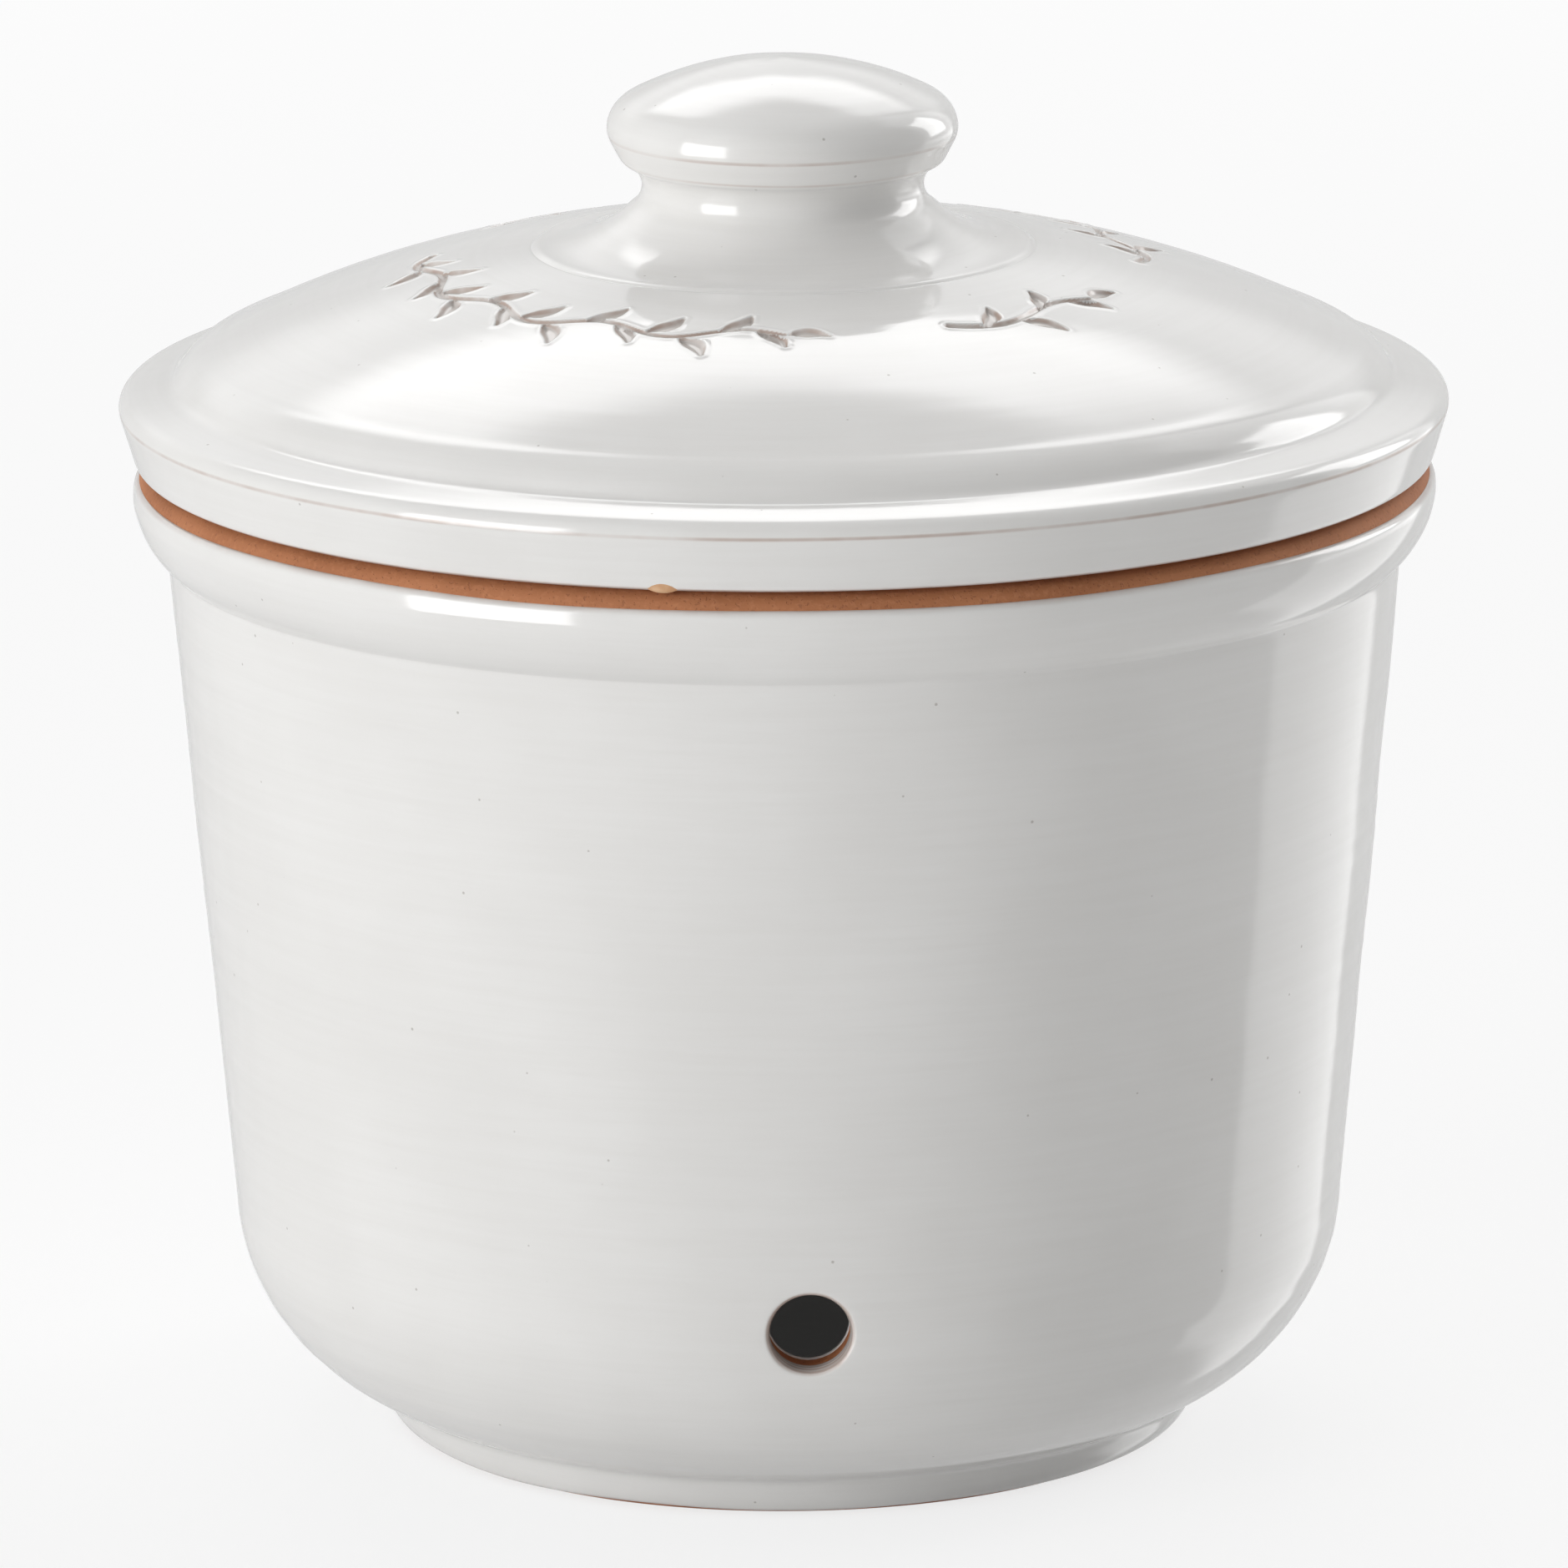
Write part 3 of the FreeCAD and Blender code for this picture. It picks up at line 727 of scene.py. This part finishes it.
def outside_of_knob(outline):
    """The knob's face from its foot on the dome, up the neck and over the cap."""
    reach = KNOB_RADIUS - KNOB_SHOULDER
    rise = KNOB_TOP - KNOB_WIDEST
    crown_radius = (reach**2 + rise**2 - KNOB_SHOULDER**2) / (2 * (rise - KNOB_SHOULDER))
    meet = math.atan2(KNOB_WIDEST - (KNOB_TOP - crown_radius), reach)
    shoulder = (reach + KNOB_SHOULDER * math.cos(meet), KNOB_WIDEST + KNOB_SHOULDER * math.sin(meet))
    outline.arc(*KNOB_NECK, KNOB_FOOT_SAG)
    outline.arc(*KNOB_RIDGE, KNOB_NECK_SAG)
    outline.line(*KNOB_CAP_EDGE)
    outline.line(KNOB_RADIUS, KNOB_WIDEST)
    outline.arc(*shoulder, -KNOB_SHOULDER * (1 - math.cos(meet / 2)))
    return outline.arc(0, KNOB_TOP, -crown_radius * (1 - math.cos((math.pi / 2 - meet) / 2)))


knob_outline = Outline(0, HOLLOW_TOP)
hollow_sag = KNOB_HOLLOW_RADIUS * QUARTER_SAG
knob_outline.arc(KNOB_HOLLOW_RADIUS, HOLLOW_TOP - KNOB_HOLLOW_RADIUS, hollow_sag)
knob_outline.line(KNOB_HOLLOW_RADIUS, DOME_TOP)
knob_outline.line(KNOB_FOOT_RADIUS, DOME_TOP).line(KNOB_FOOT_RADIUS, DOME_TOP + 0.3)
outside_of_knob(knob_outline)
knob_line = knob_outline.softened(0.1)
knob_rows = picked(knob_line, stops_along(knob_line, 1.0))
knob_rows[[0, -1], 0] = 0
knob = Turning(knob_rows, 180)
knob.offset = knob.offset - CLAY_INSET
knob.mesh("lid_knob_clay", terracotta, "lid", "clay", "lid_knob")

# Outer glaze of the lid
# One white coat over the band, dome and knob. It breaks to a brown line on the sharp edges.
# Sprigs are carved in the leather-hard dome round the knob, and the glaze softens and fills them.
STEM_HALF_WIDTH = 0.5
LEAF_HALF_WIDTH = 0.95
LEAF_GAP = 0.7
LEAF_LEAN = 50.0
LEAF_LENGTH = 4.6
TIP_LEAF_LENGTH = 4.2
STEM_SWING = 1.2
STEM_WAVE = 17
STROKE_DEPTH = 0.5
STROKE_FAR = 4.0
BURR_HEIGHT = 0.08
SPRIGS = ((-100, -2), (25, 56), (88, 140), (165, 228))


def glaze_over_lid():
    outline = outside_of_lid(Outline(BAND_RADIUS - 0.05, RIM_HEIGHT - 0.5))
    outline.line(KNOB_FOOT_RADIUS, DOME_TOP + 0.3)
    return outside_of_knob(outline)


def leaf(start, heading, length):
    """Points along the slightly bowed middle of one pressed leaf, with the half width of the cut."""
    ahead = np.array((math.cos(heading), math.sin(heading)))
    aside = np.array((-ahead[1], ahead[0])) * math.copysign(1, heading)
    share = np.linspace(0, 1, 30)[:, None]
    middle = start + (LEAF_GAP + share * length) * ahead - 0.6 * np.sin(share * math.pi) * aside
    swell = 0.2 + (LEAF_HALF_WIDTH - 0.2) * np.sin(share**0.8 * math.pi)
    return np.hstack((middle, swell))


def sprig(low, high):
    """A wavy stem with leaves on both sides and at its tip, as (x, y, half width of the cut)."""
    span = math.radians(high - low) * CARVED_RADIUS
    bends = max(1, round(span / STEM_WAVE))

    def stem(way):
        return CARVED_RADIUS + STEM_SWING * np.sin(way / span * bends * 2 * math.pi)

    way = np.linspace(0, span, int(span / 0.2))
    cuts = [np.stack((way, stem(way), STEM_HALF_WIDTH * (1 - 0.4 * way / span)), axis=1)]
    leaves = bends * 4
    for number in range(leaves):
        at = (number + 0.8) / (leaves + 0.6) * span
        lean = math.radians(LEAF_LEAN if number % 2 else -LEAF_LEAN)
        cuts.append(leaf(np.array((at, stem(at))), lean, LEAF_LENGTH))
    cuts.append(leaf(np.array((span, stem(span))), 0.1, TIP_LEAF_LENGTH))
    way, radius, half_width = np.vstack(cuts).T
    turn = math.radians(low) + way / CARVED_RADIUS
    return np.stack((radius * np.sin(turn), -radius * np.cos(turn), half_width), axis=1)


lid_glaze_line = glaze_over_lid().softened(0.12)
lid_outer, lid_buried = coat(lid_glaze_line, free_end=False, blur=0.25)
carved_middle = CARVED_RADIUS + 0.5
on_dome = (np.abs(lid_outer[:, 0] - carved_middle) < 7.8) & (lid_outer[:, 1] > FLANK_TOP[1])
lid_spacing = np.where(on_dome, 0.21, np.where(lid_outer[:, 0] < 28.5, 0.5, 0.75))
lid_stops = stops_along(lid_outer, lid_spacing, 8.0)
lid_glaze_rows = picked(lid_outer, lid_stops)
lid_buried_rows = picked(lid_buried, np.linspace(0, len(lid_buried) - 1, 60))
lid_glaze_rows[-1, 0] = lid_buried_rows[-1, 0] = 0
lid_counts = np.where(lid_glaze_rows[:, 0] > 28.5, 720, 360)
in_carving = np.abs(lid_glaze_rows[:, 0] - carved_middle) < 7.5
lid_counts[in_carving & (lid_glaze_rows[:, 1] > FLANK_TOP[1])] = 1440
counts = np.concatenate((np.full(len(lid_buried_rows), 180), lid_counts))
lid_glaze = Turning(np.vstack((lid_buried_rows[::-1], lid_glaze_rows)), counts)
shows = lid_glaze.row >= len(lid_buried_rows)
lid_ways = np.interp(lid_stops, np.arange(len(lid_outer)), way_along(lid_outer))
along = np.concatenate((np.zeros(len(lid_buried_rows)), lid_ways))[lid_glaze.row]

cut_points = np.vstack([sprig(low, high) for low, high in SPRIGS])
cut_tree = KDTree(len(cut_points))
for number, (x, y, _) in enumerate(cut_points):
    cut_tree.insert((x, y, 0), number)
cut_tree.balance()
stroke = np.full(len(lid_glaze.row), STROKE_FAR)
rise = np.full(len(lid_glaze.row), STROKE_FAR)
near_cuts = np.abs(lid_glaze.radius - carved_middle) < CARVED_REACH
close = np.flatnonzero(shows & near_cuts & (lid_glaze.height > 122))
for index, (x, y, _) in zip(close, lid_glaze.place()[close]):
    _, number, gap = cut_tree.find((x, y, 0))
    stroke[index] = min(STROKE_FAR, gap / cut_points[number, 2])
    rise[index] = gap - cut_points[number, 2]
depth_waves = waves(12, 0.15, 60, 9.0)
press = 1 + depth_waves(lid_glaze.angle, along)
groove = np.exp(-((stroke / 0.9) ** 4)) * press
burr = np.exp(-(((rise - 0.35) / 0.3) ** 2)) * press
lid_waves = waves(9, 0.035, 6, 18.0)
lid_rings = waves(10, 0.005, 1, 2.4)
unevenness = lid_waves(lid_glaze.angle, along) + lid_rings(lid_glaze.angle, along)
buried_carving = ~shows & (np.abs(lid_glaze.radius - CARVED_RADIUS) < CARVED_REACH)
buried_carving &= lid_glaze.height > 124
lid_glaze.offset = shows * (unevenness - 0.1 - STROKE_DEPTH * groove + BURR_HEIGHT * burr)
lid_glaze.offset += CARVING_ROOM * 0.8 * buried_carving
lid_glaze.offset *= np.minimum(lid_glaze.radius / 6, 1)


def line_at(radius, height, width):
    """A line round the lid where the glaze runs thin, 1 in its middle."""
    gap = np.hypot(lid_glaze.radius - radius, lid_glaze.height - height)
    return np.exp(-((gap / width) ** 2))


thin = 0.9 * line_at(LID_RADIUS + 0.35, ARRIS_LEVEL, 0.3)
thin += 0.75 * line_at(KNOB_RADIUS + 0.35, KNOB_WIDEST - 0.6, 0.3)
thin += 0.6 * line_at(KNOB_RIDGE[0] + 0.5, KNOB_RIDGE[1], 0.35)
thin += 0.8 * np.exp(-(((lid_glaze.height - RIM_HEIGHT + 0.4) / 0.3) ** 2))
lid_glaze.marks["thin"] = np.clip(thin, 0, 1) * shows
lid_glaze.marks["stroke"] = stroke
carved_glaze = white_glaze("white_glaze_carved", carved=True)
lid_glaze.mesh("lid_outer_glaze_coat", carved_glaze, "lid", "glaze", "lid_outer_glaze")

# Inner glaze of the lid
# The same white coat under the dome and down the inner side of the flange to its lower edge.
# The knob's hollow stays bare inside, because the glaze was brushed round its mouth.
under_line = underside_of_lid(Outline(KNOB_HOLLOW_RADIUS + 0.5, UNDERSIDE)).softened(0.15)
under_outer, under_buried = coat(under_line)
under_stops = stops_along(under_outer, 0.9)
under_rows = picked(under_outer, under_stops)
under_buried_rows = picked(under_buried, under_stops)
under_glaze = Turning(np.vstack((under_rows, under_buried_rows[::-1])), 360, loop=True)
shows = under_glaze.row < len(under_rows)
under_glaze.offset = shows * inside_waves(under_glaze.angle, under_glaze.radius) * 0.8
near_flange_edge = np.exp(-(((under_glaze.radius - FLANGE_RADIUS + FLANGE_EDGE) / 0.8) ** 2))
under_glaze.marks["thin"] = near_flange_edge * 0.8 * shows * (under_glaze.height < flange_low + 2)
under_glaze.mesh("lid_inner_glaze_coat", glaze, "lid", "glaze", "lid_inner_glaze")

# Drip on the lid's edge
# A drop of thin glaze and slip that ran to the lower edge of the lid and set there in the kiln.
# It clings to the lower edge of the band, left of the front, and lifts with the lid.
DRIP_ANGLE = -12.5
DRIP_HALF_WIDTH = 2.15
DRIP_THICKNESS = 0.55
DRIP_RISE = 0.3
DRIP_DROP = 1.15
SLIP_TAN = (0.6, 0.33, 0.17, 1)
SLIP_PALE = (0.72, 0.47, 0.28, 1)

ball_rows = [(math.sin(turn), -math.cos(turn)) for turn in np.linspace(0, math.pi, 13)]
ball = Turning(np.array(ball_rows), 48)
across, inward, upward = ball.place().T
drip_places = on_circle(BAND_RADIUS + 0.1 - inward * DRIP_THICKNESS,
                        math.radians(DRIP_ANGLE) + across * DRIP_HALF_WIDTH / BAND_RADIUS,
                        RIM_HEIGHT + 0.45 + upward * np.where(upward > 0, DRIP_RISE, DRIP_DROP))
slip, slip_start, slip_place = new_finish("thin_slip")
surface(slip_start, {
    "Base Color": slip_place.noise(700, 3).ramp(0.3, 0.7).mix(SLIP_TAN, SLIP_PALE),
    "Roughness": 0.3 + slip_place.noise(900, 2) * 0.2,
    "Normal": bumped(slip_start, slip_place.noise(1500, 2), 0.03, 0.6),
})
drip_piece = smooth_piece("lid_edge_drip", drip_places, ball.bands, slip)
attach(drip_piece, "lid")

# Floor and light
# A plain white table in a white studio. A broad soft light hangs high behind the pot, a softbox
# stands at the front left and a window at the back right, and two grey screens dim the right
# and the front. The glaze shows them all as reflections. The table is seen plain white from afar.
FLOOR_HALF = 6.0
FLOOR_DROP = 0.0002
FLOOR_WHITE = (0.82, 0.82, 0.82, 1)
ROOM_LIGHT = 0.66

floor_mesh = bpy.data.meshes.new("floor")
floor_corners = [(-FLOOR_HALF, -FLOOR_HALF, 0), (FLOOR_HALF, -FLOOR_HALF, 0),
                 (FLOOR_HALF, FLOOR_HALF, 0), (-FLOOR_HALF, FLOOR_HALF, 0)]
floor_mesh.from_pydata(floor_corners, [], [(0, 1, 2, 3)])
floor = bpy.data.objects.new("floor", floor_mesh)
floor.location.z = -FLOOR_DROP
floor.visible_glossy = False
scene.collection.objects.link(floor)
paper, paper_start, paper_place = new_finish("white_table")
distance = paper_start.node("ShaderNodeVectorMath", {"operation": "LENGTH"}, {0: paper_place}, "Value")
seen = paper_start.node("ShaderNodeLightPath", {}, {}, "Is Camera Ray")
lit = paper_start.node("ShaderNodeBsdfDiffuse", {}, {"Color": FLOOR_WHITE})
bright = paper_start.node("ShaderNodeEmission", {}, {"Strength": 1.0})
share = seen * (0.78 + distance.ramp(0.35, 1.6) * 0.22)
blend = paper_start.node("ShaderNodeMixShader", {}, {0: share, 1: lit, 2: bright})
paper_start.node("ShaderNodeOutputMaterial", {}, {"Surface": blend})
floor_mesh.materials.append(paper)

world = bpy.data.worlds.new("studio")
scene.world = world
world.use_nodes = True
world.node_tree.nodes.clear()
sky = Signal(world.node_tree)
direction = sky.node("ShaderNodeTexCoord", {}, {}, "Generated")
climb = sky.node("ShaderNodeSeparateXYZ", {}, {0: direction}, "Z")
elevation = climb.math("ARCSINE", climb) * math.degrees(1)
flat_way = direction.scaled(1, 1, 0)
heading = sky.node("ShaderNodeVectorMath", {"operation": "NORMALIZE"}, {0: flat_way})


def panel(azimuth, half_width, low, high, soft_side, soft_end):
    """A soft-edged panel, 1 inside and 0 outside, in degrees from the front and from the horizon."""
    centre = math.radians(azimuth)
    facing = sky.node("ShaderNodeVectorMath", {"operation": "DOT_PRODUCT"},
                      {0: heading, 1: (math.sin(centre), -math.cos(centre), 0)}, "Value")
    wide = math.cos(math.radians(min(180, half_width + soft_side)))
    narrow = math.cos(math.radians(max(0, half_width - soft_side)))
    above_low = elevation.ramp(low - soft_end, low + soft_end)
    above_high = elevation.ramp(high - soft_end, high + soft_end)
    return facing.ramp(wide, narrow) * (above_low * (1 - above_high))


back_light = panel(180, 24, 33, 51, 9, 4) * 2.6 + panel(180, 40, 16, 33, 12, 6) * 0.6
softbox = panel(-55, 15.5, -18, 22, 1.5, 1.5) * 6.2 + panel(-55, 15.5, 22, 60, 1.5, 6) * 0.4
window = panel(122, 11, 2, 36, 2, 2) * 4.0
window_wall = panel(125, 21, -10, 52, 2, 3) * 0.9 + panel(125, 21, -40, -4, 2, 3) * 0.9
right_screen = panel(75, 45, -70, 75, 30, 15) * 0.37
front_screen = panel(10, 35, -70, 75, 30, 15) * 0.2
light = back_light + softbox + window + window_wall - right_screen - front_screen + ROOM_LIGHT
seen = sky.node("ShaderNodeLightPath", {}, {}, "Is Camera Ray")
sockets = {"Color": (1, 1, 1, 1), "Strength": seen + (1 - seen) * light}
back = sky.node("ShaderNodeBackground", {}, sockets)
sky.node("ShaderNodeOutputWorld", {}, {"Surface": back})
